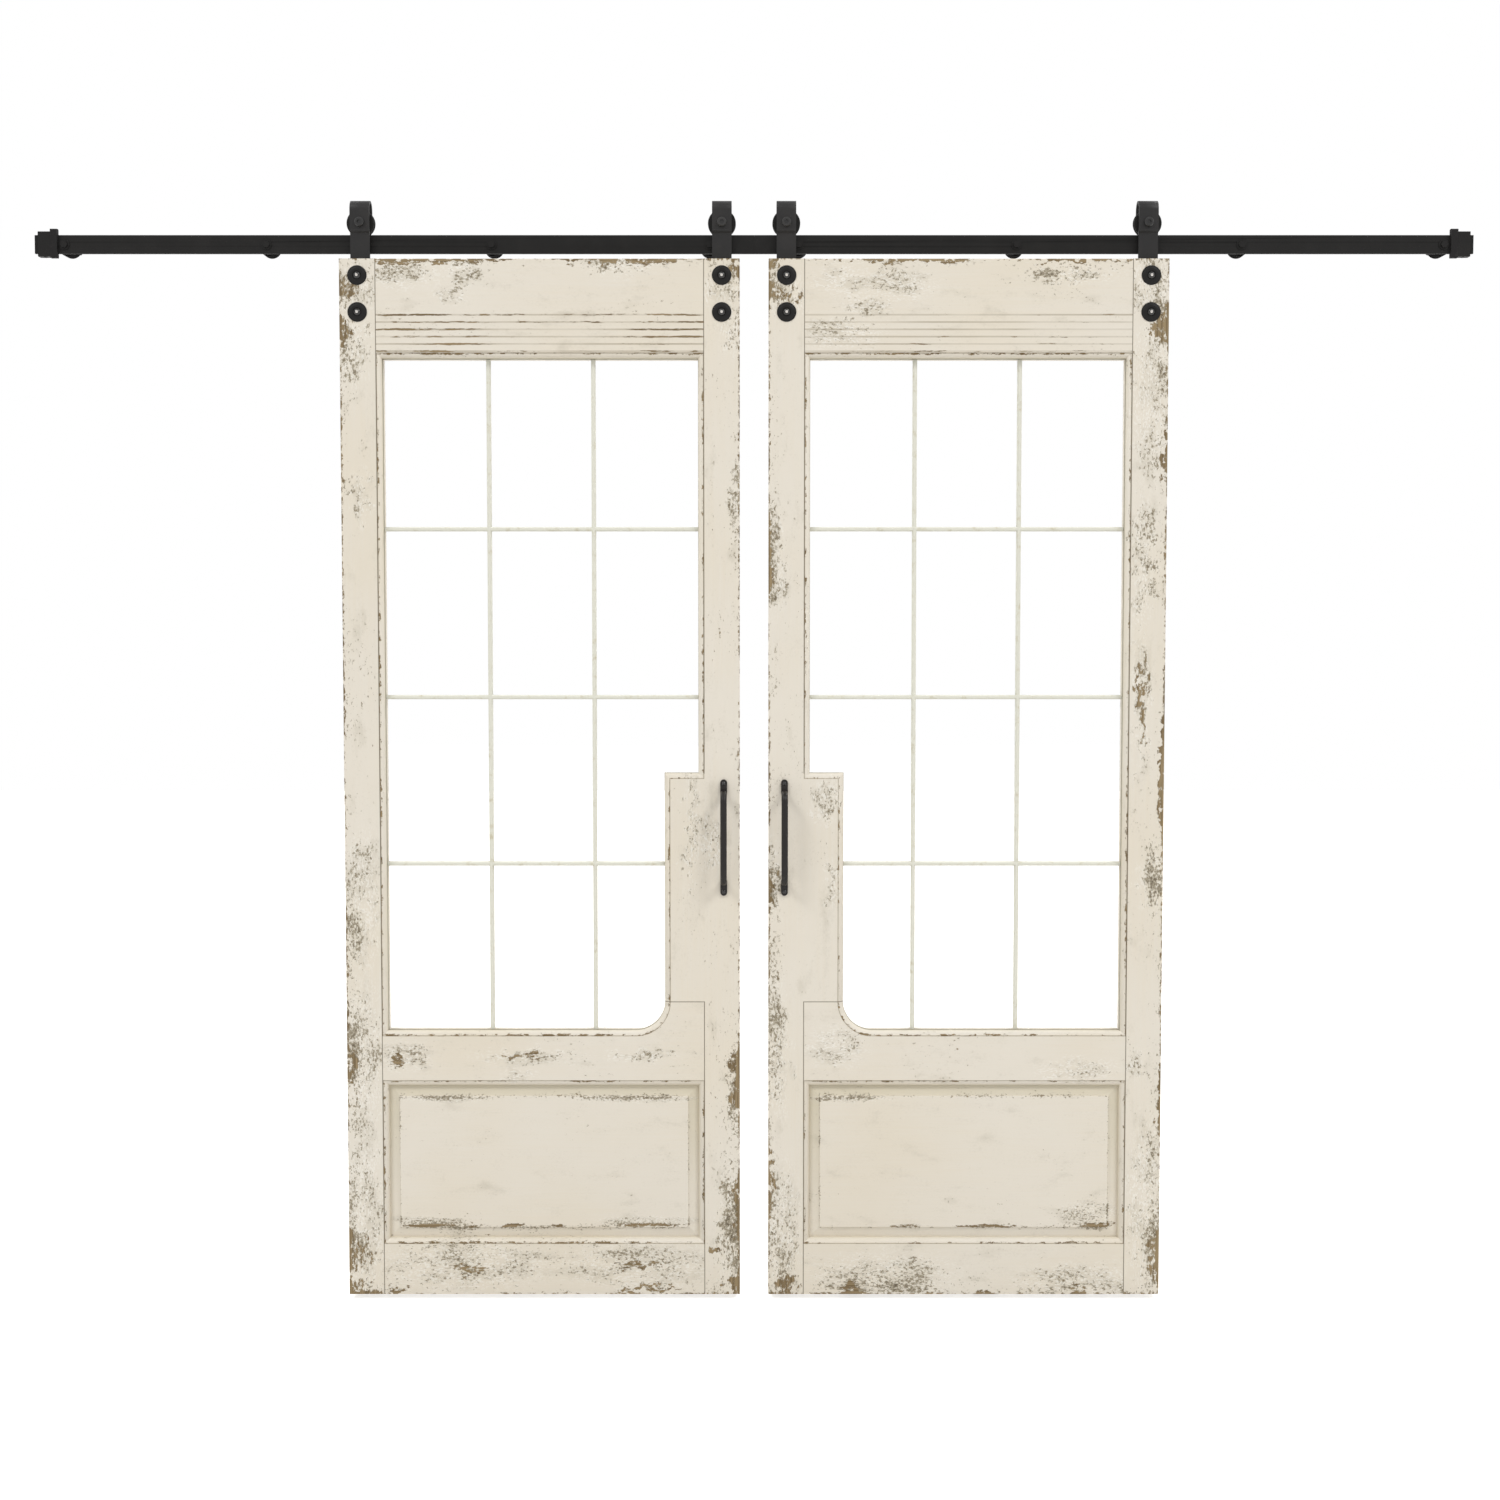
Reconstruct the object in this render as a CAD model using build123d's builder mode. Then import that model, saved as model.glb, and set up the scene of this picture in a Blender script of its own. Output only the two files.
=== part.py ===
from build123d import *
import os

# A pair of sliding barn doors on a flat wall rail, in millimetres.
# X runs along the rail, Z is up, and the wall is the plane Y = 0 with the room on the -Y side.
# The origin is the middle of the rail's wall fixing: between the doors, at the rail's mid height.
# "Out" is the distance from the wall into the room, and "depth" the distance behind a door's face.

# Rail, spacers and lag bolts
rail_half_length = 1475.0
rail_height = 38.0
rail_thickness = 6.0
fixing_shares = (0.0617, 0.365, 0.678)
end_fixing_gap = 2.0
spacer_length = 50.0
spacer_diameter = 40.0
spacer_foot = 38.0
spacer_neck_diameter = 24.0
spacer_edge = 1.5
lag_diameter = 8.0
lag_thread_diameter = 7.5
lag_hole_play = 0.5
lag_reach = 60.0
lag_point = 8.0
lag_flange_diameter = 22.0
lag_flange_thickness = 1.4
lag_head_flats = 13.0
lag_head_height = 3.4

# End stops
stop_length = 25.0
stop_height = 51.0
stop_wall = 7.0
stop_play = 0.2
stop_edge = 1.2
stop_inset = 8.5
bumper_length = 14.0
bumper_rise = 12.0
bumper_drop = 9.0
bumper_edge = 2.5
stop_screw_diameter = 6.0
stop_screw_stand = 1.5

# Doors
door_width = 813.0
door_height = 2134.0
door_thickness = 38.0
door_gap = 59.0
door_drop = 18.0

# Frame members: widths of the flat faces, without the moulding
stile_width = 73.0
top_rail_height = 189.0
lock_rail_height = 92.0
bottom_rail_height = 106.0
panel_space = 344.0
gunstock_width = 143.0
gunstock_ledge = 1076.0
corner_radius = 60.0
joint_vee = 0.7

# Moulding on the inner edges: a small step, then a quarter round
quirk_depth = 1.5
bead_width = 12.0

# Flutes of the top rail
flute_count = 6
flute_first = 113.0
flute_pitch = 14.7
flute_width = 3.4
flute_depth = 2.6

# Mortise and tenon joints
tenon_front = 16.0
tenon_thickness = 10.0
tenon_length = 40.0
tenon_shoulder = 14.0
tenon_haunch = 40.0
tenon_play = 0.2

# Glazing
rebate_depth = 24.0
rebate_lap = 9.0
glass_thickness = 4.0
glass_play = 1.0
lite_columns = 3
lite_rows = 4
bar_width = 8.5
front_bar_height = 7.0
back_bar_height = 6.0
bar_crest_share = 0.5
bar_shoulder_share = 0.55
mitre_gap = 0.15

# Raised panel
groove_front = 15.0
groove_width = 8.0
groove_lap = 9.0
panel_play = 1.0
tongue_play = 0.05
panel_bevel = 22.0
bevel_rise = 6.0
field_step = 3.0

# Pull handles
pull_length = 240.0
pull_height = 955.0
pull_inset = 33.0
pull_bar = 13.4
pull_stand = 36.0
pull_bend = 17.0
pull_foot_width = 14.0
pull_foot_length = 36.0
pull_foot_thickness = 4.0
pull_screw_diameter = 5.0
pull_screw_length = 28.0
pull_screw_head = 9.0
pull_screw_dome = 2.5
pull_screw_inset = 8.0

# Hangers
strap_width = 40.0
strap_thickness = 5.0
strap_rail_gap = 7.0
strap_tail = 141.0
strap_end_radius = 8.0
strap_rear_tail = 14.0
strap_crown = 17.5
joggle_clear = 2.0
joggle_height = 6.0
joggle_radius = 5.0
hanger_inset = 36.5
hanger_bolt_first = 33.5
hanger_bolt_pitch = 74.0
hanger_bolt_diameter = 8.0
hanger_hole_play = 0.5
hanger_bolt_tail = 3.0
hanger_nut_flats = 13.0
hanger_nut_height = 6.5
bolt_head_diameter = 16.0
bolt_head_height = 5.0
washer_diameter = 39.5
washer_rim = 1.0
washer_height = 3.6
washer_crest_share = 0.68
washer_seat_diameter = 18.0
washer_seat_drop = 1.0
thread_play = 0.05

# Wheels and axles
wheel_diameter = 57.0
rim_width = 17.0
hub_width = 26.0
hub_diameter = 30.0
tread_diameter = 46.0
tread_lift = 0.3
groove_play = 0.75
groove_flare = 1.5
wheel_edge = 1.5
bearing_diameter = 22.0
bearing_play = 0.05
axle_diameter = 10.0
axle_hole_play = 0.2
axle_head_diameter = 19.0
axle_head_height = 6.5
axle_head_edge = 1.5
axle_socket_flats = 8.0
axle_socket_depth = 4.0
axle_nut_flats = 17.0
axle_nut_height = 8.0
axle_tail = 2.0
thrust_diameter = 20.0
thrust_thickness = 2.0
thrust_gap = 0.15

# Distances out from the wall
rail_back = spacer_length
rail_front = rail_back + rail_thickness
rail_middle = rail_back + rail_thickness / 2
strap_back = rail_front + strap_rail_gap
door_back = strap_back + strap_thickness
door_front = door_back + door_thickness
wheel_side = hub_width / 2 + thrust_gap + thrust_thickness
front_leg = rail_middle + wheel_side
rear_leg = rail_middle - wheel_side

# Places along the rail and up the left door
meeting_edge = -door_gap / 2
outer_edge = meeting_edge - door_width
outer_shoulder = outer_edge + stile_width
meeting_shoulder = meeting_edge - stile_width
sight_left = outer_shoulder + bead_width
sight_right = meeting_shoulder - bead_width
gunstock_shoulder = meeting_edge - gunstock_width
gunstock_sight = gunstock_shoulder - bead_width
hanger_places = (outer_edge + hanger_inset, meeting_edge - hanger_inset)
pull_x = meeting_edge - pull_inset
stop_reach = rail_half_length - stop_inset - stop_length - bumper_length
end_fixing = stop_reach - end_fixing_gap - lag_flange_diameter / 2
half_fixings = [share * rail_half_length for share in fixing_shares] + [end_fixing]
fixing_places = [side * x for side in (-1, 1) for x in half_fixings]

door_top = -rail_height / 2 - door_drop
door_bottom = door_top - door_height
panel_low = door_bottom + bottom_rail_height
panel_high = panel_low + panel_space
lock_top = panel_high + lock_rail_height
glass_top = door_top - top_rail_height
sight_low = lock_top + bead_width
sight_high = glass_top - bead_width
ledge_top = door_bottom + gunstock_ledge + bead_width
upstand_top = sight_low + corner_radius
pull_z = door_bottom + pull_height
bolt_heights = [door_top - hanger_bolt_first - step * hanger_bolt_pitch for step in range(2)]

axle_z = rail_height / 2 + tread_lift + tread_diameter / 2
crown_z = axle_z + wheel_diameter / 2 + strap_crown - strap_thickness - (front_leg - rear_leg) / 2
bead_foot = quirk_depth + bead_width
glass_front = door_front - rebate_depth
glass_back = glass_front - glass_thickness
overrun = door_thickness


def stuck_board(plane, flat):
    """Section of a board whose edge carries the moulding: x across the board, y into the door."""
    edge = flat + bead_width
    with BuildSketch(plane) as section:
        with BuildLine():
            Polyline(
                (edge, bead_foot),
                (edge, door_thickness),
                (0, door_thickness),
                (0, 0),
                (flat, 0),
                (flat, quirk_depth),
            )
            CenterArc((flat, bead_foot), bead_width, -90, 90)
        make_face()
    return section.sketch


def span_box(low, high, mode=Mode.ADD):
    """A box between two corners given as (x, out, z)."""
    sizes = [abs(b - a) for a, b in zip(low, high)]
    middle = [(a + b) / 2 for a, b in zip(low, high)]
    with Locations((middle[0], -middle[1], middle[2])):
        Box(*sizes, mode=mode)


def side_view(x, z=0):
    """Plane seen from the side: x runs out from the wall and y runs up."""
    return Plane((x, 0, z), x_dir=(0, -1, 0), z_dir=(-1, 0, 0))


def cap_radius(radius, height):
    """Radius of the sphere whose cap has this base radius and height."""
    return (radius**2 + height**2) / (2 * height)


def cut_glass_rebate():
    """The step behind the moulding that takes the pane and its beads, cut from the back."""
    low = (sight_left - rebate_lap, glass_front, sight_low - rebate_lap)
    high = (sight_right + rebate_lap, door_back - overrun, sight_high + rebate_lap)
    span_box(low, high, Mode.SUBTRACT)


def cut_panel_groove():
    """The groove round the lower opening that holds the panel's tongue."""
    front = door_front - groove_front
    low = (sight_left - groove_lap, front, panel_low + bead_width - groove_lap)
    high = (sight_right + groove_lap, front - groove_width, panel_high - bead_width + groove_lap)
    span_box(low, high, Mode.SUBTRACT)


def tenon_spans():
    """Heights of the top, lock and bottom rail tenons."""
    return {
        "top": (glass_top + tenon_shoulder, door_top - tenon_haunch),
        "lock": (panel_high + tenon_shoulder, lock_top - tenon_shoulder),
        "bottom": (door_bottom + tenon_shoulder, panel_low - tenon_shoulder),
    }


def tenons(rail_name):
    """Both end tenons of a rail, from its shoulders into the stiles."""
    low, high = tenon_spans()[rail_name]
    front = door_front - tenon_front
    back = front - tenon_thickness
    span_box((sight_left - tenon_length, front, low), (sight_left + bead_width, back, high))
    span_box((sight_right - bead_width, front, low), (sight_right + tenon_length, back, high))


def cut_mortises(edge, direction):
    """Mortises for the three rails in a stile; direction points from its moulded edge into it."""
    front = door_front - tenon_front + tenon_play
    back = door_front - tenon_front - tenon_thickness - tenon_play
    bottom = edge + direction * (tenon_length + tenon_play)
    for low, high in tenon_spans().values():
        span_box((edge, front, low - tenon_play), (bottom, back, high + tenon_play), Mode.SUBTRACT)


def cut_hanger_holes(x):
    """Bolt holes through the door for one hanger."""
    with BuildSketch(Plane.XZ.offset(door_back - overrun)) as holes:
        with Locations(*[(x, z) for z in bolt_heights]):
            Circle(hanger_bolt_diameter / 2 + hanger_hole_play)
    extrude(holes.sketch, amount=door_thickness + 2 * overrun, mode=Mode.SUBTRACT)


def outer_stile_section():
    plane = Plane((outer_edge, -door_front, door_bottom), x_dir=(1, 0, 0), z_dir=(0, 0, 1))
    return stuck_board(plane, stile_width)


def meeting_stile_section():
    plane = Plane((meeting_edge, -door_front, door_top), x_dir=(-1, 0, 0), z_dir=(0, 0, -1))
    return stuck_board(plane, stile_width)


def make_outer_stile():
    with BuildPart() as stile:
        extrude(outer_stile_section(), amount=door_height)
        cut_glass_rebate()
        cut_panel_groove()
        cut_mortises(sight_left, -1)
        cut_hanger_holes(hanger_places[0])
    return stile.part


def make_meeting_stile():
    """One board, wide behind the pull: the wide part has moulding on its side and its ledge."""
    side = Plane((meeting_shoulder, -door_front, ledge_top), x_dir=(-1, 0, 0), z_dir=(0, 0, -1))
    ledge = Plane((meeting_shoulder, -door_front, upstand_top), x_dir=(0, 0, 1), z_dir=(-1, 0, 0))
    with BuildPart() as stile:
        extrude(stuck_board(side, gunstock_width - stile_width), amount=ledge_top - upstand_top)
        ledge_section = stuck_board(ledge, ledge_top - bead_width - upstand_top)
        extrude(ledge_section, amount=meeting_shoulder - gunstock_sight, mode=Mode.INTERSECT)
        extrude(meeting_stile_section(), amount=door_height)
        cut_glass_rebate()
        cut_panel_groove()
        cut_mortises(sight_right, 1)
        cut_hanger_holes(hanger_places[1])
        with BuildSketch(Plane.XZ.offset(door_front - pull_screw_length)) as screw_holes:
            with Locations(*pull_screw_points()):
                Circle(pull_screw_diameter / 2)
        extrude(screw_holes.sketch, amount=pull_screw_length, mode=Mode.SUBTRACT)
    return stile.part


def ease_joints(rail):
    """A fine vee where a rail's face meets the stiles."""
    faces = rail.faces().group_by(Axis.Y)[0]
    ends = [edge for face in faces for edge in face.edges().filter_by(Axis.Z)]
    chamfer(ends, length=joint_vee)


def cope_ends():
    """Shape a rail's ends over the mouldings of both stiles."""
    extrude(outer_stile_section(), amount=door_height, mode=Mode.SUBTRACT)
    extrude(meeting_stile_section(), amount=door_height, mode=Mode.SUBTRACT)


def make_top_rail():
    plane = Plane((outer_shoulder, -door_front, door_top), x_dir=(0, 0, -1), z_dir=(1, 0, 0))
    with BuildPart() as rail:
        extrude(stuck_board(plane, top_rail_height), amount=meeting_shoulder - outer_shoulder)
        with BuildSketch(plane) as flutes:
            with Locations(*[(flute_first + step * flute_pitch, 0) for step in range(flute_count)]):
                with BuildLine():
                    Polyline((-flute_width / 2, 0), (0, flute_depth), (flute_width / 2, 0), close=True)
                make_face()
        extrude(flutes.sketch, amount=meeting_shoulder - outer_shoulder, mode=Mode.SUBTRACT)
        cope_ends()
        cut_glass_rebate()
        ease_joints(rail)
        tenons("top")
    return rail.part


def make_lock_rail():
    """Moulded on both edges, with an upstand at the meeting end that carries the round corner."""
    middle = (panel_high + lock_top) / 2
    half = lock_rail_height / 2
    length = meeting_shoulder - outer_shoulder
    corner_x = gunstock_sight - corner_radius
    up = Plane((meeting_shoulder, -door_front, middle), x_dir=(0, 0, 1), z_dir=(-1, 0, 0))
    down = Plane((outer_shoulder, -door_front, middle), x_dir=(0, 0, -1), z_dir=(1, 0, 0))
    corner = Plane((corner_x, -door_front, upstand_top), x_dir=(1, 0, 0), z_dir=(0, 0, 1))
    with BuildPart() as rail:
        extrude(stuck_board(up, half), amount=length)
        extrude(stuck_board(down, half), amount=length)
        span_box((corner_x, door_front, middle), (meeting_shoulder, door_back, upstand_top))
        with BuildSketch(corner) as hollow:
            with BuildLine():
                Polyline(
                    (corner_radius, bead_foot),
                    (corner_radius, door_thickness + overrun),
                    (0, door_thickness + overrun),
                    (0, -overrun),
                    (corner_radius + bead_width, -overrun),
                    (corner_radius + bead_width, quirk_depth),
                )
                CenterArc((corner_radius + bead_width, bead_foot), bead_width, 180, 90)
            make_face()
        corner_axis = Axis((corner_x, 0, upstand_top), (0, 1, 0))
        revolve(hollow.sketch, axis=corner_axis, revolution_arc=90, mode=Mode.SUBTRACT)
        cope_ends()
        cut_glass_rebate()
        cut_panel_groove()
        ease_joints(rail)
        face_edges = rail.faces().group_by(Axis.Y)[0].edges()
        chamfer(face_edges.filter_by(Axis.X).group_by(Axis.Z)[-1], length=joint_vee)
        tenons("lock")
    return rail.part


def make_bottom_rail():
    plane = Plane((meeting_shoulder, -door_front, door_bottom), x_dir=(0, 0, 1), z_dir=(-1, 0, 0))
    with BuildPart() as rail:
        extrude(stuck_board(plane, bottom_rail_height), amount=meeting_shoulder - outer_shoulder)
        cope_ends()
        cut_panel_groove()
        ease_joints(rail)
        tenons("bottom")
    return rail.part


def make_raised_panel():
    """A loose panel: tongue all round, a broad bevel and a raised field."""
    middle = ((sight_left + sight_right) / 2, (panel_low + panel_high) / 2)
    width = sight_right - sight_left
    height = panel_space - 2 * bead_width
    reach = 2 * (groove_lap - panel_play)
    tongue_back = door_front - groove_front - groove_width + tongue_play
    tongue_front = door_front - groove_front - tongue_play
    with BuildPart() as panel:
        with BuildSketch(Plane.XZ.offset(tongue_back)):
            with Locations(middle):
                Rectangle(width + reach, height + reach)
        extrude(amount=tongue_front - tongue_back)
        with BuildSketch(Plane.XZ.offset(tongue_front)) as foot:
            with Locations(middle):
                Rectangle(width, height)
        with BuildSketch(Plane.XZ.offset(tongue_front + bevel_rise)) as crest:
            with Locations(middle):
                Rectangle(width - 2 * panel_bevel, height - 2 * panel_bevel)
        loft([foot.sketch, crest.sketch])
        extrude(crest.sketch, amount=field_step)
    return panel.part


def make_glass_pane():
    reach = rebate_lap - glass_play
    with BuildPart() as pane:
        span_box(
            (sight_left - reach, glass_back, sight_low - reach),
            (sight_right + reach, glass_front, sight_high + reach),
        )
    return pane.part


def bar_section(plane, height):
    """Section of a glazing bar: flat on the glass, with sloping shoulders."""
    half = bar_width / 2
    with BuildSketch(plane) as section:
        with BuildLine():
            Polyline(
                (-half, 0),
                (half, 0),
                (half, height * bar_shoulder_share),
                (half * bar_crest_share, height),
                (-half * bar_crest_share, height),
                (-half, height * bar_shoulder_share),
                close=True,
            )
        make_face()
    return section.sketch


def make_glazing_bars(seat, facing, height, trim):
    """A grille on one side of the pane; facing is -1 to the room and 1 to the wall."""
    column = (sight_right - sight_left) / lite_columns
    row = (sight_high - sight_low) / lite_rows
    with BuildPart() as bars:
        for step in range(1, lite_columns):
            x = sight_left + step * column
            plane = Plane((x, -seat, sight_low), x_dir=(facing, 0, 0), z_dir=(0, 0, 1))
            extrude(bar_section(plane, height), amount=sight_high - sight_low)
        for step in range(1, lite_rows):
            z = sight_low + step * row
            end = gunstock_sight if trim and z < ledge_top else sight_right
            plane = Plane((sight_left, -seat, z), x_dir=(0, 0, -facing), z_dir=(1, 0, 0))
            extrude(bar_section(plane, height), amount=end - sight_left)
    return bars.part


def make_front_bars():
    return make_glazing_bars(glass_front, -1, front_bar_height, trim=True)


def make_back_bars():
    return make_glazing_bars(glass_back, 1, back_bar_height, trim=False)


def make_glazing_beads():
    """Four mitred strips that hold the pane in its rebate."""
    signs = [(-1, -1), (1, -1), (1, 1), (-1, 1)]
    inner = [(sight_left if x < 0 else sight_right, sight_low if z < 0 else sight_high) for x, z in signs]
    outer = [(x + sx * rebate_lap, z + sz * rebate_lap) for (x, z), (sx, sz) in zip(inner, signs)]
    with BuildPart() as beads:
        for side in range(4):
            after = (side + 1) % 4
            along = [(b > a) - (b < a) for a, b in zip(inner[side], inner[after])]
            shift = [mitre_gap * part for part in along]
            points = [
                (outer[side][0] + shift[0], outer[side][1] + shift[1]),
                (outer[after][0] - shift[0], outer[after][1] - shift[1]),
                (inner[after][0] - shift[0], inner[after][1] - shift[1]),
                (inner[side][0] + shift[0], inner[side][1] + shift[1]),
            ]
            with BuildSketch(Plane.XZ.offset(door_back)) as strip:
                with BuildLine():
                    Polyline(*points, close=True)
                make_face()
            extrude(strip.sketch, amount=glass_back - door_back)
    return beads.part


def pull_screw_points():
    """Screw places of the pull as (x, z)."""
    reach = pull_length / 2 - pull_screw_inset
    return [(pull_x, pull_z - reach), (pull_x, pull_z + reach)]


def make_pull_handle():
    """A bent round bar that ends in two flat feet."""
    leg = pull_length / 2 - pull_foot_length + pull_foot_width / 2
    foot_middle = (pull_length - pull_foot_length) / 2
    seat = door_front + pull_foot_thickness / 2
    bar_out = door_front + pull_stand
    with BuildPart() as pull:
        with BuildLine(side_view(pull_x, pull_z)) as path:
            FilletPolyline((seat, leg), (bar_out, leg), (bar_out, -leg), (seat, -leg), radius=pull_bend)
        with BuildSketch(Plane.XZ.offset(seat)):
            with Locations((pull_x, pull_z + leg)):
                Circle(pull_bar / 2)
        sweep(path=path.wires()[0])
        with BuildSketch(Plane.XZ.offset(door_front)) as feet:
            with Locations((pull_x, pull_z - foot_middle), (pull_x, pull_z + foot_middle)):
                SlotOverall(pull_foot_length, pull_foot_width, rotation=90)
            with Locations(*pull_screw_points()):
                Circle(pull_screw_diameter / 2, mode=Mode.SUBTRACT)
        extrude(feet.sketch, amount=pull_foot_thickness)
    return pull.part


def make_handle_screws():
    with BuildPart() as screws:
        for x, z in pull_screw_points():
            seat = Plane((x, -door_front - pull_foot_thickness, z), x_dir=(1, 0, 0), z_dir=(0, 0, 1))
            with BuildSketch(seat) as half:
                with BuildLine():
                    Polyline(
                        (pull_screw_head / 2, 0),
                        (pull_screw_diameter / 2 - thread_play, 0),
                        (pull_screw_diameter / 2 - thread_play, pull_screw_length),
                        (0, pull_screw_length),
                        (0, -pull_screw_dome),
                    )
                    curve = cap_radius(pull_screw_head / 2, pull_screw_dome)
                    RadiusArc((0, -pull_screw_dome), (pull_screw_head / 2, 0), curve)
                make_face()
            revolve(half.sketch, axis=Axis((x, 0, z), (0, 1, 0)))
    return screws.part


def make_hanger_strap(x):
    """Flat bar bent over the wheel, joggled back above the rail and bolted behind the door."""
    front = front_leg + strap_thickness / 2
    rear = rear_leg - strap_thickness / 2
    lower = strap_back + strap_thickness / 2
    joggle_low = rail_height / 2 + joggle_clear
    tail = door_top - strap_tail
    with BuildPart() as strap:
        with BuildSketch(side_view(x)):
            with BuildLine():
                FilletPolyline(
                    (lower, tail),
                    (lower, joggle_low),
                    (front, joggle_low + joggle_height),
                    (front, crown_z),
                    radius=(joggle_radius, joggle_radius),
                )
                ThreePointArc(
                    (front, crown_z),
                    ((front + rear) / 2, crown_z + (front - rear) / 2),
                    (rear, crown_z),
                )
                Line((rear, crown_z), (rear, axle_z - strap_rear_tail))
            trace(line_width=strap_thickness)
        extrude(amount=strap_width / 2, both=True)
        fillet(strap.edges().filter_by(Axis.Y).group_by(Axis.Z)[0], strap_end_radius)
        with BuildSketch(Plane.XZ) as holes:
            with Locations((x, axle_z)):
                Circle(axle_diameter / 2 + axle_hole_play)
            with Locations(*[(x, z) for z in bolt_heights]):
                Circle(hanger_bolt_diameter / 2 + hanger_hole_play)
        extrude(holes.sketch, amount=door_front, mode=Mode.SUBTRACT)
    return strap.part


def make_hanger_bolts():
    """Round-headed bolts through the washers, the stile, the strap and the nuts."""
    head_seat = door_front + washer_height - washer_seat_drop
    tip = strap_back - hanger_nut_height - hanger_bolt_tail
    with BuildPart() as bolts:
        for x in hanger_places:
            for z in bolt_heights:
                seat = Plane((x, -head_seat, z), x_dir=(1, 0, 0), z_dir=(0, 0, 1))
                with BuildSketch(seat) as half:
                    with BuildLine():
                        Polyline(
                            (bolt_head_diameter / 2, 0),
                            (hanger_bolt_diameter / 2, 0),
                            (hanger_bolt_diameter / 2, head_seat - tip),
                            (0, head_seat - tip),
                            (0, -bolt_head_height),
                        )
                        curve = cap_radius(bolt_head_diameter / 2, bolt_head_height)
                        RadiusArc((0, -bolt_head_height), (bolt_head_diameter / 2, 0), curve)
                    make_face()
                revolve(half.sketch, axis=Axis((x, 0, z), (0, 1, 0)))
    return bolts.part


def make_hanger_washers():
    """Dished washers: thin at the rim, rising to a crest round the bolt's seat."""
    crest = washer_diameter / 2 * washer_crest_share
    bore = hanger_bolt_diameter / 2 + hanger_hole_play
    seat_height = washer_height - washer_seat_drop
    with BuildPart() as washers:
        for x in hanger_places:
            for z in bolt_heights:
                face = Plane((x, -door_front, z), x_dir=(1, 0, 0), z_dir=(0, 0, 1))
                with BuildSketch(face) as half:
                    with BuildLine():
                        Polyline(
                            (bore, 0),
                            (washer_diameter / 2, 0),
                            (washer_diameter / 2, -washer_rim),
                            (crest, -washer_height),
                            (washer_seat_diameter / 2, -washer_height),
                            (washer_seat_diameter / 2, -seat_height),
                            (bore, -seat_height),
                            close=True,
                        )
                    make_face()
                revolve(half.sketch, axis=Axis((x, 0, z), (0, 1, 0)))
    return washers.part


def make_hanger_nuts():
    with BuildPart() as nuts:
        with BuildSketch(Plane.XZ.offset(strap_back - hanger_nut_height)):
            with Locations(*[(x, z) for x in hanger_places for z in bolt_heights]):
                RegularPolygon(hanger_nut_flats / 2, 6, major_radius=False)
                Circle(hanger_bolt_diameter / 2 + thread_play, mode=Mode.SUBTRACT)
        extrude(amount=hanger_nut_height)
    return nuts.part


def make_axle_bolts():
    """Round-headed bolts with a hex socket, through both legs of each strap."""
    head_seat = front_leg + strap_thickness
    head_face = head_seat + axle_head_height
    tip = rear_leg - strap_thickness - axle_nut_height - axle_tail
    places = [(x, axle_z) for x in hanger_places]
    with BuildPart() as bolts:
        with BuildSketch(Plane.XZ.offset(head_seat)) as heads:
            with Locations(*places):
                Circle(axle_head_diameter / 2)
        extrude(heads.sketch, amount=axle_head_height)
        chamfer(bolts.edges().group_by(Axis.Y)[0], length=axle_head_edge)
        with BuildSketch(Plane.XZ.offset(head_face - axle_socket_depth)) as sockets:
            with Locations(*places):
                RegularPolygon(axle_socket_flats / 2, 6, major_radius=False)
        extrude(sockets.sketch, amount=axle_socket_depth, mode=Mode.SUBTRACT)
        with BuildSketch(Plane.XZ.offset(tip)) as shanks:
            with Locations(*places):
                Circle(axle_diameter / 2)
        extrude(shanks.sketch, amount=head_seat - tip)
    return bolts.part


def make_axle_nuts():
    with BuildPart() as nuts:
        with BuildSketch(Plane.XZ.offset(rear_leg - strap_thickness - axle_nut_height)):
            with Locations(*[(x, axle_z) for x in hanger_places]):
                RegularPolygon(axle_nut_flats / 2, 6, major_radius=False)
                Circle(axle_diameter / 2 + thread_play, mode=Mode.SUBTRACT)
        extrude(amount=axle_nut_height)
    return nuts.part


def make_axle_washers():
    """Thrust washers between the wheel's bearing and both legs of each strap."""
    with BuildPart() as washers:
        for seat in (rear_leg, front_leg - thrust_thickness):
            with BuildSketch(Plane.XZ.offset(seat)) as rings:
                with Locations(*[(x, axle_z) for x in hanger_places]):
                    Circle(thrust_diameter / 2)
                    Circle(axle_diameter / 2 + axle_hole_play, mode=Mode.SUBTRACT)
            extrude(rings.sketch, amount=thrust_thickness)
    return washers.part


def make_wheel(x):
    """Grooved wheel: two flanges straddle the rail, the tread runs on its top edge, the hub is wider."""
    half = rim_width / 2
    hub_half = hub_width / 2
    hub = hub_diameter / 2
    rim = wheel_diameter / 2
    tread = tread_diameter / 2
    root = rail_thickness / 2 + groove_play
    bore = bearing_diameter / 2
    centre = Plane((x, -rail_middle, axle_z), x_dir=(1, 0, 0), z_dir=(0, 0, 1))
    with BuildPart() as wheel:
        with BuildSketch(centre) as section:
            with BuildLine():
                Polyline(
                    (bore, -hub_half),
                    (hub, -hub_half),
                    (hub, -half),
                    (rim - wheel_edge, -half),
                    (rim, -half + wheel_edge),
                    (rim, -root - groove_flare),
                    (tread, -root),
                    (tread, root),
                    (rim, root + groove_flare),
                    (rim, half - wheel_edge),
                    (rim - wheel_edge, half),
                    (hub, half),
                    (hub, hub_half),
                    (bore, hub_half),
                    close=True,
                )
            make_face()
        revolve(section.sketch, axis=Axis((x, 0, axle_z), (0, 1, 0)))
    return wheel.part


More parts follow.
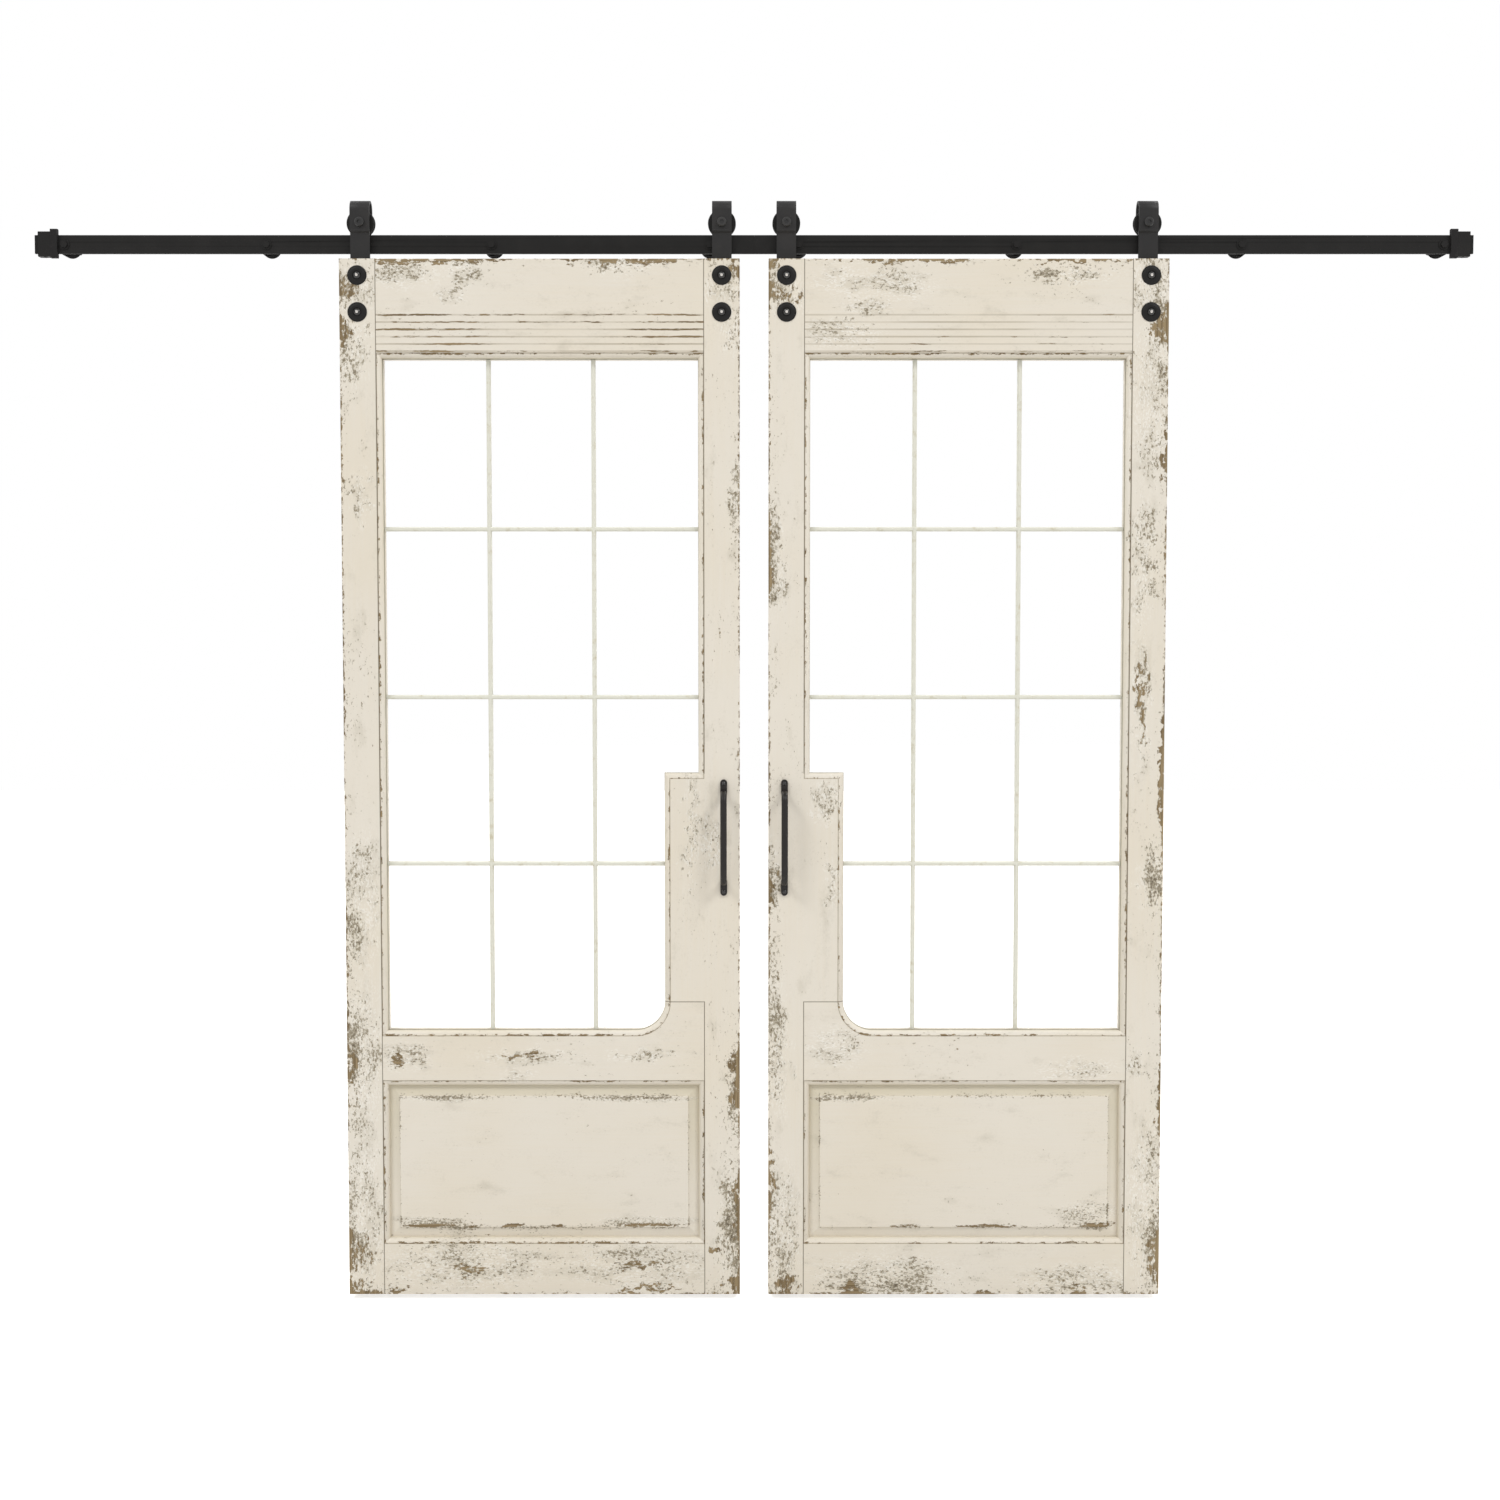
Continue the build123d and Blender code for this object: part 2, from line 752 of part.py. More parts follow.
def make_wheel_bearing(x):
    with BuildPart() as bearing:
        with BuildSketch(Plane.XZ.offset(rail_middle - hub_width / 2)):
            with Locations((x, axle_z)):
                Circle(bearing_diameter / 2)
                Circle(axle_diameter / 2 + bearing_play, mode=Mode.SUBTRACT)
        extrude(amount=hub_width)
    return bearing.part


def make_rail_half(side):
    """One half of the rail; side is -1 to the left and 1 to the right."""
    places = [(x, 0) for x in fixing_places if x * side > 0]
    with BuildPart() as rail:
        with BuildSketch(Plane.XZ.offset(rail_back)):
            with Locations((side * rail_half_length / 2, 0)):
                Rectangle(rail_half_length, rail_height)
            with Locations(*places):
                Circle(lag_diameter / 2 + lag_hole_play, mode=Mode.SUBTRACT)
        extrude(amount=rail_thickness)
    return rail.part


def make_rail_spacers():
    """A wide foot on the wall, and a neck that lets the wheels' rear flanges pass over it."""
    places = [(x, 0) for x in fixing_places]
    with BuildPart() as spacers:
        with BuildSketch(Plane.XZ) as feet:
            with Locations(*places):
                Circle(spacer_diameter / 2)
        extrude(feet.sketch, amount=spacer_foot)
        chamfer(spacers.edges().filter_by(GeomType.CIRCLE), length=spacer_edge)
        with BuildSketch(Plane.XZ) as necks:
            with Locations(*places):
                Circle(spacer_neck_diameter / 2)
        extrude(necks.sketch, amount=spacer_length)
        with BuildSketch(Plane.XZ) as bores:
            with Locations(*places):
                Circle(lag_diameter / 2 + lag_hole_play)
        extrude(bores.sketch, amount=spacer_length, mode=Mode.SUBTRACT)
    return spacers.part


def make_lag_bolts():
    """Flanged hex lag bolts through the rail and spacers, with their points in the wall."""
    places = [(x, 0) for x in fixing_places]
    with BuildPart() as bolts:
        with BuildSketch(Plane.XZ.offset(rail_front)) as flanges:
            with Locations(*places):
                Circle(lag_flange_diameter / 2)
        extrude(flanges.sketch, amount=lag_flange_thickness)
        with BuildSketch(Plane.XZ.offset(rail_front + lag_flange_thickness)) as heads:
            with Locations(*places):
                RegularPolygon(lag_head_flats / 2, 6, major_radius=False)
        extrude(heads.sketch, amount=lag_head_height)
        with BuildSketch(Plane.XZ) as shanks:
            with Locations(*places):
                Circle(lag_diameter / 2)
        extrude(shanks.sketch, amount=rail_front)
        for x, z in places:
            wall = Plane((x, 0, z), x_dir=(1, 0, 0), z_dir=(0, 0, 1))
            with BuildSketch(wall) as thread:
                with BuildLine():
                    Polyline(
                        (0, 0),
                        (lag_thread_diameter / 2, 0),
                        (lag_thread_diameter / 2, lag_reach - lag_point),
                        (0, lag_reach),
                        close=True,
                    )
                make_face()
            revolve(thread.sketch, axis=Axis((x, 0, z), (0, 1, 0)))
    return bolts.part


def stop_faces(side):
    """X places of the stop: outer face, joint with the bumper, and the bumper's inner face."""
    inner = side * stop_reach
    joint = inner + side * bumper_length
    return joint + side * stop_length, joint, inner


def cut_rail_slot(start, end):
    """The window that the rail passes through."""
    half = rail_height / 2 + stop_play
    low = (start, rail_back - stop_play, -half)
    high = (end, rail_front + stop_play, half)
    span_box(low, high, Mode.SUBTRACT)


def make_stop_block(side):
    """A sleeve slid over the rail's end and held by a set screw from below."""
    outer, joint, _ = stop_faces(side)
    half = stop_height / 2
    with BuildPart() as block:
        span_box((outer, rail_back - stop_wall, -half), (joint, rail_front + stop_wall, half))
        chamfer(block.edges().filter_by(Axis.X), length=stop_edge)
        cut_rail_slot(outer, joint)
        with BuildSketch(Plane.XY.offset(-half - overrun)) as hole:
            with Locations(((outer + joint) / 2, -rail_middle)):
                Circle(stop_screw_diameter / 2 + thread_play)
        extrude(hole.sketch, amount=half + overrun, mode=Mode.SUBTRACT)
    return block.part


def make_stop_bumper(side):
    """A rubber pad on the block's inner face, open behind, and tall enough to meet the wheel."""
    _, joint, inner = stop_faces(side)
    high = rail_height / 2 + bumper_rise
    low = -rail_height / 2 - bumper_drop
    with BuildPart() as bumper:
        span_box((joint, rail_back, low), (inner, rail_front + stop_wall, high))
        fillet(bumper.edges().filter_by(Axis.X), radius=bumper_edge)
        cut_rail_slot(joint, inner)
    return bumper.part


def make_stop_screws():
    with BuildPart() as screws:
        low = -stop_height / 2 - stop_screw_stand
        with BuildSketch(Plane.XY.offset(low)):
            for side in (-1, 1):
                outer, joint, _ = stop_faces(side)
                with Locations(((outer + joint) / 2, -rail_middle)):
                    Circle(stop_screw_diameter / 2)
        extrude(amount=-rail_height / 2 - low)
    return screws.part


def save(piece, name):
    with BuildPart() as node:
        add(piece)
    node.part.label = name
    export_step(node.part, f"parts/{name}.step")


os.makedirs("parts", exist_ok=True)

# One door's pieces, built as the left door
outer_hanger, inner_hanger = hanger_places
door_pieces = {
    "outer_stile": make_outer_stile(),
    "meeting_stile": make_meeting_stile(),
    "top_rail": make_top_rail(),
    "lock_rail": make_lock_rail(),
    "bottom_rail": make_bottom_rail(),
    "raised_panel": make_raised_panel(),
    "glass_pane": make_glass_pane(),
    "front_glazing_bars": make_front_bars(),
    "back_glazing_bars": make_back_bars(),
    "glazing_beads": make_glazing_beads(),
    "pull_handle": make_pull_handle(),
    "handle_screws": make_handle_screws(),
    "outer_hanger_strap": make_hanger_strap(outer_hanger),
    "inner_hanger_strap": make_hanger_strap(inner_hanger),
    "hanger_bolts": make_hanger_bolts(),
    "hanger_washers": make_hanger_washers(),
    "hanger_nuts": make_hanger_nuts(),
    "axle_bolts": make_axle_bolts(),
    "axle_nuts": make_axle_nuts(),
    "axle_washers": make_axle_washers(),
    "outer_wheel": make_wheel(outer_hanger),
    "outer_wheel_bearing": make_wheel_bearing(outer_hanger),
    "inner_wheel": make_wheel(inner_hanger),
    "inner_wheel_bearing": make_wheel_bearing(inner_hanger),
}
for name, piece in door_pieces.items():
    save(piece, f"left_{name}")
    save(mirror(piece, about=Plane.YZ), f"right_{name}")

# The frame on the wall
for side_name, side in (("left", -1), ("right", 1)):
    save(make_rail_half(side), f"{side_name}_rail_half")
    save(make_stop_block(side), f"{side_name}_stop_block")
    save(make_stop_bumper(side), f"{side_name}_stop_bumper")
save(make_rail_spacers(), "rail_spacers")
save(make_lag_bolts(), "lag_bolts")
save(make_stop_screws(), "stop_screws")
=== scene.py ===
import functools
import math

import bpy
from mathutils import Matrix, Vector


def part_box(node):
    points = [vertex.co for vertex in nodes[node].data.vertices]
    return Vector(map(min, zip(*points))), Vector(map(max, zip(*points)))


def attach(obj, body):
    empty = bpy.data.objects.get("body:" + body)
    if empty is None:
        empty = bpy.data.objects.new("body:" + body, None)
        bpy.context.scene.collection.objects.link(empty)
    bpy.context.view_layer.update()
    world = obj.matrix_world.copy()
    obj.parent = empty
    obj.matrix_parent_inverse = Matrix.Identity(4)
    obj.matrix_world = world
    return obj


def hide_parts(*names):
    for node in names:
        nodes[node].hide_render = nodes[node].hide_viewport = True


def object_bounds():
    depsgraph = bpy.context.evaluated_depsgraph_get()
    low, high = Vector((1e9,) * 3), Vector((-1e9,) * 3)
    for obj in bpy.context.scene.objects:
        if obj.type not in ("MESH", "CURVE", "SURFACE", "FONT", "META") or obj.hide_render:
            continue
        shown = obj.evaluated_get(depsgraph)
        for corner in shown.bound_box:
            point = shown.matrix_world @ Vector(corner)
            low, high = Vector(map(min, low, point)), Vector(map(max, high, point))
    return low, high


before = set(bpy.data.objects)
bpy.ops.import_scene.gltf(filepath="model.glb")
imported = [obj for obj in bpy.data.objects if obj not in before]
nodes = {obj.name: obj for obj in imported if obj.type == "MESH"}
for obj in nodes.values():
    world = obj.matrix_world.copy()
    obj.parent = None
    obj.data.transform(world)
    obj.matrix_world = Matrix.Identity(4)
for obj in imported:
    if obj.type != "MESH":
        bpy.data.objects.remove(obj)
cad_low, cad_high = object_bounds()

# Places in metres, read from the right door; the left door mirrors them in X
bead_width = 0.012
ledge_height = 1.088
panel_margin = 0.030
flute_first, flute_pitch, flute_count = 0.113, 0.0147, 6
stile_low, stile_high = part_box("right_outer_stile")
meeting_low, meeting_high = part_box("right_meeting_stile")
panel_low, panel_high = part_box("right_raised_panel")
door_inner, door_outer = meeting_low.x, stile_high.x
door_bottom, door_top = stile_low.z, stile_high.z
door_front, door_back = stile_low.y, stile_high.y
door_middle = Vector((0, (door_front + door_back) / 2, (door_bottom + door_top) / 2))
outer_shoulder = stile_low.x + bead_width
meeting_shoulder = door_inner + door_outer - outer_shoulder
gunstock_sight = meeting_high.x
upstand_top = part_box("right_lock_rail")[1].z
ledge_top = door_bottom + ledge_height

# Camera
camera_place = Vector((-0.0084, -4.5, -0.789))
camera_pitch = math.radians(-3.21)
camera_lens = 51.42
camera_reach = 100

# Light: a key from each side, high up in front, a weaker pair behind, and an even world
lamp_turn, lamp_height = math.radians(50), math.radians(44)
lamp_distance, lamp_size = 24.0, 6.4
left_key, right_key, rear_key = 1430.0, 1720.0, 1200.0
world_strength = 0.585

# Floor
floor_drop = 0.01
floor_reach = 14.0
floor_lift = 0.62

# Eased edges and smooth shading
wood_easing, panel_easing, thin_easing = 0.0012, 0.001, 0.0006
easing_segments = 2
weld_reach = 1e-6
sharp_angle = math.radians(35)

# Domed fasteners: sizes are the head's radius, its height and the shank's radius
turned_sides, dome_steps = 32, 8
bolt_sizes = (0.008, 0.005, 0.004)
screw_sizes = (0.0045, 0.0025, 0.00245)
# Depths behind the bolt heads' front within which a glint is painted on their crowns, as (none, full)
glint_depths = (0.0006, 0.0003)

# Glass: the share of light that it bends; the rest goes straight through, so that wood behind it is lit
glass_cover = 0.15

# Noises on painted wood as (scale, detail, roughness), and how far each is drawn out along the board
grain_noise, grain_squeeze = (260, 4, 0.6), 0.03
drift_noise = (2.5, 2, 0.5)
cluster_noise = (9, 3, 0.6)
patch_noise = (30, 2, 0.5)
chip_noise = (150, 5, 0.75)
speck_noise = (420, 1, 0.5)
board_squeeze = 0.45
crackle_noise, crackle_squeeze = (260, 3, 0.65), 0.7
streak_noise, fade_noise, streak_squeeze = (90, 6, 0.75), (30, 2, 0.5), 0.15
stray_scale, stray_detail = 40, 3.0

# Where marks begin and end on painted wood: distances in metres, as (none, full)
side_fade = (0.003, 0.008)
middle_fade = 0.002
edge_reach = (0.009, 0.0)
joint_reach = (0.0012, 0.0005)
crest_depths = ((0.0004, 0.0012), (0.0032, 0.0018))
quirk_depths = ((0.0008, 0.0012), (0.0017, 0.00155))
# Painted shade in the deepest part of the mouldings round the glass
deep_shade_depths = (0.008, 0.012)
flute_line, flute_wear = (0.0022, 0.0010), (0.0032, 0.0012)
place_reach = (1.25, 0.4)

# Scores from which the paint is gone or flecked, as (none, full)
bare_limits = (0.24, 0.28)
fleck_limits = (0.20, 0.235)
dark_fleck_limits = (0.24, 0.40)
streak_limits = (0.31, 0.38)

# Worn places on the doors, as (x, z, reach along x, reach along z) in metres:
# "bare" where the paint is gone, "fleck" where it is flecked, "streak" where flutes show bare wood
stile_places = {
    "bare": (
        (-0.830, -0.10, 0.029, 0.025), (-0.835, -0.19, 0.014, 0.045), (-0.833, -1.69, 0.016, 0.041),
        (-0.826, -2.08, 0.030, 0.055), (-0.826, -2.16, 0.050, 0.022), (-0.033, -0.06, 0.021, 0.021),
        (-0.035, -1.72, 0.016, 0.074), (-0.029, -1.98, 0.010, 0.082), (-0.038, -2.15, 0.029, 0.021),
        (-0.085, -2.08, 0.012, 0.014), (0.061, -0.11, 0.050, 0.032), (0.040, -0.05, 0.021, 0.021),
        (0.035, -0.65, 0.012, 0.082), (0.031, -1.32, 0.008, 0.052), (0.033, -1.94, 0.011, 0.093),
        (0.067, -2.15, 0.037, 0.025), (0.828, -0.17, 0.030, 0.055), (0.840, -0.43, 0.010, 0.062),
        (0.842, -1.08, 0.010, 0.155), (0.794, -0.93, 0.008, 0.144), (0.844, -1.76, 0.012, 0.093),
        (0.836, -2.10, 0.022, 0.070),
    ),
    "fleck": (
        (-0.816, -0.10, 0.054, 0.054), (-0.817, -0.22, 0.041, 0.093), (-0.800, -0.52, 0.021, 0.062),
        (-0.809, -1.35, 0.045, 0.165), (-0.808, -1.68, 0.047, 0.185), (-0.812, -2.00, 0.052, 0.206),
        (-0.069, -0.10, 0.049, 0.033), (-0.049, -0.18, 0.029, 0.052), (-0.037, -0.52, 0.016, 0.082),
        (-0.128, -1.20, 0.019, 0.144), (-0.087, -1.23, 0.029, 0.074), (-0.040, -1.74, 0.019, 0.104),
        (-0.050, -2.02, 0.029, 0.155), (0.065, -0.11, 0.058, 0.054), (0.040, -0.65, 0.024, 0.124),
        (0.040, -1.30, 0.022, 0.093), (0.046, -1.66, 0.029, 0.165), (0.058, -2.04, 0.045, 0.165),
        (0.148, -1.14, 0.033, 0.058), (0.161, -1.31, 0.016, 0.054), (0.803, -0.09, 0.049, 0.074),
        (0.806, -0.32, 0.049, 0.185), (0.793, -0.65, 0.025, 0.165), (0.794, -0.93, 0.019, 0.165),
        (0.820, -1.30, 0.033, 0.072), (0.791, -1.69, 0.021, 0.037), (0.819, -1.98, 0.050, 0.205),
    ),
}
rail_places = {
    "bare": (
        (-0.737, -1.68, 0.016, 0.012), (-0.485, -1.67, 0.074, 0.006), (-0.591, -2.12, 0.062, 0.016),
        (-0.748, -2.16, 0.045, 0.008), (-0.217, -2.16, 0.082, 0.008), (-0.237, -2.11, 0.074, 0.008),
        (0.204, -2.16, 0.025, 0.021), (0.481, -2.17, 0.033, 0.008), (0.671, -2.16, 0.029, 0.019),
    ),
    "fleck": (
        (-0.723, -1.67, 0.062, 0.037), (-0.464, -1.67, 0.124, 0.019), (-0.489, -1.71, 0.045, 0.016),
        (-0.236, -1.67, 0.082, 0.014), (-0.602, -2.11, 0.210, 0.060), (-0.237, -2.11, 0.190, 0.055),
        (0.170, -1.65, 0.066, 0.049), (0.671, -1.70, 0.091, 0.029), (0.275, -2.13, 0.170, 0.055),
        (0.689, -2.14, 0.160, 0.042),
    ),
}
fluted_places = {
    "bare": (
        (-0.657, -0.04, 0.185, 0.008), (-0.272, -0.04, 0.165, 0.008), (0.296, -0.04, 0.185, 0.008),
        (0.661, -0.04, 0.124, 0.006),
    ),
    "fleck": (
        (-0.714, -0.07, 0.091, 0.033), (-0.593, -0.06, 0.041, 0.037), (-0.272, -0.05, 0.082, 0.025),
        (-0.617, -0.11, 0.041, 0.019), (0.186, -0.08, 0.075, 0.035), (0.296, -0.09, 0.085, 0.037),
        (0.231, -0.13, 0.062, 0.025), (0.179, -0.19, 0.091, 0.037), (0.651, -0.07, 0.103, 0.021),
    ),
    "streak": ((-0.66, -0.18, 0.25, 0.09), (-0.20, -0.18, 0.22, 0.09)),
}
panel_places = {
    "bare": (
        (-0.684, -2.028, 0.060, 0.004), (-0.501, -2.027, 0.028, 0.006), (-0.404, -2.028, 0.018, 0.004),
        (-0.216, -2.026, 0.080, 0.005), (0.314, -2.028, 0.037, 0.005), (0.480, -2.029, 0.091, 0.004),
        (0.720, -2.026, 0.041, 0.007),
    ),
    "fleck": (
        (-0.641, -1.762, 0.103, 0.008), (-0.236, -1.762, 0.144, 0.008), (-0.216, -2.018, 0.124, 0.012),
        (-0.684, -2.018, 0.084, 0.010), (0.199, -1.762, 0.103, 0.008), (0.698, -2.00, 0.070, 0.030),
    ),
}


def tone(red, green, blue):
    """A colour as seen on a screen, from 0 to 255, as the linear values that shaders take."""
    parts = [value / 255 for value in (red, green, blue)]
    return [v / 12.92 if v <= 0.04045 else ((v + 0.055) / 1.055) ** 2.4 for v in parts] + [1.0]


# Colours of painted wood
cream, warm_cream = tone(229, 222, 209), tone(227, 218, 201)
bar_cream = tone(224, 223, 210)
# Glaze and painted shade in the recesses; on the glazing bars, plain dirt
glaze_dirt_and_shade = tone(196, 187, 158)
grime = tone(186, 178, 160)
bare_wood, dark_wood = tone(154, 135, 103), tone(114, 97, 71)
# The white specks are partly painted highlights on the flecked paint
light_fleck, dark_fleck, white_speck_and_highlight = tone(170, 160, 140), tone(106, 96, 79), tone(246, 243, 236)
# Dirt and painted shade in the quirks of the mouldings
quirk_dirt_and_shade_colour = tone(156, 143, 118)
# Painted shade, dark olive, in the deepest part of the mouldings round the glass
deep_shade_colour = tone(116, 107, 78)
joint_colour = tone(112, 101, 84)
# Dirt and painted shade in the flutes
flute_dirt_and_shade = tone(160, 148, 126)

# Other colours
# The bright colour is a painted glint on the bolt heads' crowns
bolt_dark, crown_glint = tone(28, 26, 25), tone(205, 200, 194)
steel_dull, steel_bright = tone(150, 150, 150), tone(190, 190, 188)
rubber_black, rubber_dust = tone(30, 29, 29), tone(52, 50, 48)
floor_pale = tone(225, 224, 222)
white = tone(255, 255, 255)


class Graph:
    """One material's node tree, with short calls for the nodes that the looks are made of."""

    def __init__(self, name):
        self.material = bpy.data.materials.new(name)
        self.material.use_nodes = True
        self.tree = self.material.node_tree
        self.shader = self.tree.nodes["Principled BSDF"]
        coordinates = self.tree.nodes.new("ShaderNodeTexCoord")
        self.position = coordinates.outputs["Object"]
        split = self.tree.nodes.new("ShaderNodeSeparateXYZ")
        self.put(split.inputs[0], self.position)
        self.x, self.y, self.z = split.outputs
        self.side = self.math("ABSOLUTE", self.x)

    def put(self, socket, value):
        """Links a socket to a value that is a socket, or else sets it."""
        if isinstance(value, bpy.types.NodeSocket):
            self.tree.links.new(value, socket)
        else:
            socket.default_value = value

    def shade(self, **settings):
        """Sets the shader's inputs, named in lower case with underscores."""
        for name, value in settings.items():
            words = [word.upper() if word == "ior" else word.title() for word in name.split("_")]
            self.put(self.shader.inputs[" ".join(words)], value)

    def math(self, operation, first, second=0.0):
        node = self.tree.nodes.new("ShaderNodeMath")
        node.operation = operation
        self.put(node.inputs[0], first)
        self.put(node.inputs[1], second)
        return node.outputs[0]

    def vector(self, operation, *values):
        node = self.tree.nodes.new("ShaderNodeVectorMath")
        node.operation = operation
        for socket, value in zip(node.inputs, values):
            self.put(socket, value)
        return node

    def total(self, *terms):
        """The sum of terms; a term is a value, or a (weight, value) pair."""
        values = [self.math("MULTIPLY", t[1], t[0]) if isinstance(t, tuple) else t for t in terms]
        return functools.reduce(lambda a, b: self.math("ADD", a, b), values)

    def product(self, *values):
        return functools.reduce(lambda a, b: self.math("MULTIPLY", a, b), values)

    def least(self, *values):
        return functools.reduce(lambda a, b: self.math("MINIMUM", a, b), values)

    def most(self, *values):
        return functools.reduce(lambda a, b: self.math("MAXIMUM", a, b), values)

    def less(self, first, second):
        return self.math("SUBTRACT", first, second)

    def gap(self, value, place):
        """How far a value is from a place."""
        return self.math("ABSOLUTE", self.less(value, place))

    def ramp(self, value, start, end):
        """0 before start and 1 after end, smooth between; start may be the larger one."""
        node = self.tree.nodes.new("ShaderNodeMapRange")
        node.interpolation_type = "SMOOTHSTEP"
        low, high = min(start, end), max(start, end)
        settings = (value, low, high, float(start > end), float(start < end))
        for socket, setting in zip(node.inputs, settings):
            self.put(socket, setting)
        return node.outputs[0]

    def band(self, value, rise, fall):
        """1 between a rise and a fall, each given as (none, full)."""
        return self.product(self.ramp(value, *rise), self.ramp(value, *fall))

    def drawn_out(self, along, squeeze):
        """The position squeezed along one axis, so that a noise there is drawn out along it."""
        factors = {"X": (squeeze, 1, 1), "Z": (1, 1, squeeze)}[along]
        return self.vector("MULTIPLY", self.position, factors).outputs["Vector"]

    def noise_node(self, vector, scale, detail):
        node = self.tree.nodes.new("ShaderNodeTexNoise")
        for socket, setting in {"Vector": vector, "Scale": scale, "Detail": detail}.items():
            self.put(node.inputs[socket], setting)
        return node

    def noise(self, vector, scale, detail, roughness):
        """A noise about 0, mostly within -0.3 to 0.3."""
        node = self.noise_node(vector, scale, detail)
        self.put(node.inputs["Roughness"], roughness)
        return self.less(node.outputs[0], 0.5)

    def strayed(self, reach):
        """The position shifted by a noise, so that what is drawn there gets a ragged outline."""
        colours = self.noise_node(self.position, stray_scale, stray_detail).outputs["Color"]
        shift = self.vector("SUBTRACT", colours, (0.5, 0.5, 0.5)).outputs["Vector"]
        return self.vector("MULTIPLY_ADD", shift, (reach, reach, reach), self.position).outputs["Vector"]

    def near(self, places, position):
        """1 at the places, each falling to 0 at an ellipse round it on the door's face."""
        shares = []
        for x, z, reach_x, reach_z in places:
            scale = (1 / reach_x, 0, 1 / reach_z)
            shift = (-x / reach_x, 0, -z / reach_z)
            scaled = self.vector("MULTIPLY_ADD", position, scale, shift).outputs["Vector"]
            shares.append(self.ramp(self.vector("LENGTH", scaled).outputs["Value"], *place_reach))
        return self.most(*shares)

    def mix(self, share, first, second):
        node = self.tree.nodes.new("ShaderNodeMix")
        node.data_type = "RGBA"
        colours = [socket for socket in node.inputs if socket.type == "RGBA"]
        self.put(node.inputs[0], share)
        self.put(colours[0], first)
        self.put(colours[1], second)
        return [socket for socket in node.outputs if socket.type == "RGBA"][0]

    def bump(self, height, distance):
        node = self.tree.nodes.new("ShaderNodeBump")
        self.put(node.inputs["Strength"], 1.0)
        self.put(node.inputs["Distance"], distance)
        self.put(node.inputs["Height"], height)
        self.shade(normal=node.outputs[0])


def face_depth(graph):
    """Depth below the nearer of the door's two faces."""
    return graph.least(graph.less(graph.y, door_front), graph.less(door_back, graph.y))


def outline_gap(graph):
    """Distance to the nearest of a door's four sides."""
    return graph.least(
        graph.less(door_outer, graph.side),
        graph.less(graph.side, door_inner),
        graph.less(door_top, graph.z),
        graph.less(graph.z, door_bottom),
    )


def door_rim(graph):
    """Distance to the nearest long arris of a door: front and back edges of its four sides."""
    return graph.total(outline_gap(graph), face_depth(graph))


def field_rim(graph):
    """Distance to the edge of the panel's raised field; its top and bottom edges wear the most."""
    side_weight = 2.5
    sides = graph.least(
        graph.less(panel_high.x - panel_margin, graph.side),
        graph.less(graph.side, panel_low.x + panel_margin),
    )
    ends = graph.least(
        graph.less(panel_high.z - panel_margin, graph.z),
        graph.less(graph.z, panel_low.z + panel_margin),
    )
    return graph.math("ABSOLUTE", graph.least(graph.product(sides, side_weight), ends))


def joint_gap(graph):
    """Distance to the joints between a door's boards: two stiles and the lock rail's upstand."""
    beside_gunstock = graph.least(graph.less(graph.z, upstand_top), graph.less(ledge_top, graph.z))
    upstand = graph.most(
        graph.gap(graph.z, upstand_top),
        graph.less(meeting_shoulder, graph.side),
        graph.less(graph.side, gunstock_sight),
    )
    meeting = graph.most(graph.gap(graph.side, meeting_shoulder), beside_gunstock)
    return graph.least(graph.gap(graph.side, outer_shoulder), meeting, upstand)


def flute_gap(graph):
    """Distance to the middle of the nearest flute, up or down."""
    steps = graph.math("DIVIDE", graph.less(door_top - flute_first, graph.z), flute_pitch)
    nearest = graph.least(graph.most(graph.math("ROUND", steps), 0.0), flute_count - 1.0)
    return graph.product(graph.gap(steps, nearest), flute_pitch)


class Marks:
    """The noises, masks and worn places on one board, from which its colours are mixed."""

    def __init__(self, graph, along, places, stray):
        board = graph.drawn_out(along, board_squeeze)
        self.grain = graph.noise(graph.drawn_out(along, grain_squeeze), *grain_noise)
        self.crackle = graph.noise(graph.drawn_out(along, crackle_squeeze), *crackle_noise)
        self.drift = graph.noise(graph.position, *drift_noise)
        self.cluster = graph.noise(board, *cluster_noise)
        self.patch = graph.noise(board, *patch_noise)
        self.chip = graph.noise(board, *chip_noise)
        self.speck = graph.noise(board, *speck_noise)
        self.position = graph.strayed(stray)
        self.bare_place = graph.near(places["bare"], self.position)
        self.fleck_place = graph.near(places["fleck"], self.position)
        self.place = graph.most(self.bare_place, self.fleck_place)
        self.depth = face_depth(graph)
        self.within = graph.ramp(outline_gap(graph), *side_fade)
        front_half = graph.ramp(graph.y, door_middle.y + middle_fade, door_middle.y - middle_fade)
        self.in_front = graph.product(self.within, front_half)


def bare_share(graph, marks, edge, edge_wear, crest_wear):
    """Where the paint is gone: at worn edges, on the crests of mouldings and at bare places."""
    crest = graph.product(graph.band(marks.depth, *crest_depths), marks.within)
    score = graph.total(
        (0.5, marks.cluster),
        (1.3, marks.chip),
        (edge_wear, graph.ramp(edge, *edge_reach)),
        (0.30, marks.bare_place),
        (crest_wear, crest),
    )
    return graph.ramp(score, *bare_limits)


def fleck_level(graph, marks, edge, fringe):
    """How strongly the paint is flecked; fringe is how much and how far in from the edges."""
    fringe_weight, fringe_reach = fringe
    return graph.total(
        (0.75, marks.crackle),
        (0.5, marks.chip),
        (0.3, marks.patch),
        (0.35, marks.cluster),
        (fringe_weight, graph.ramp(edge, fringe_reach, 0.0)),
        (0.145, marks.fleck_place),
        (0.08, marks.bare_place),
    )


def glaze_and_shade_in_recess(graph, marks, recess, glaze_and_shade_shares):
    """Glaze and painted shade gathered between two depths, from one share at the panel's foot to another at
    its head.
    """
    foot, head = glaze_and_shade_shares
    height = graph.ramp(graph.z, panel_low.z, panel_high.z)
    share = graph.total(foot, (head - foot, height))
    return graph.product(graph.ramp(marks.depth, *recess), marks.in_front, share)


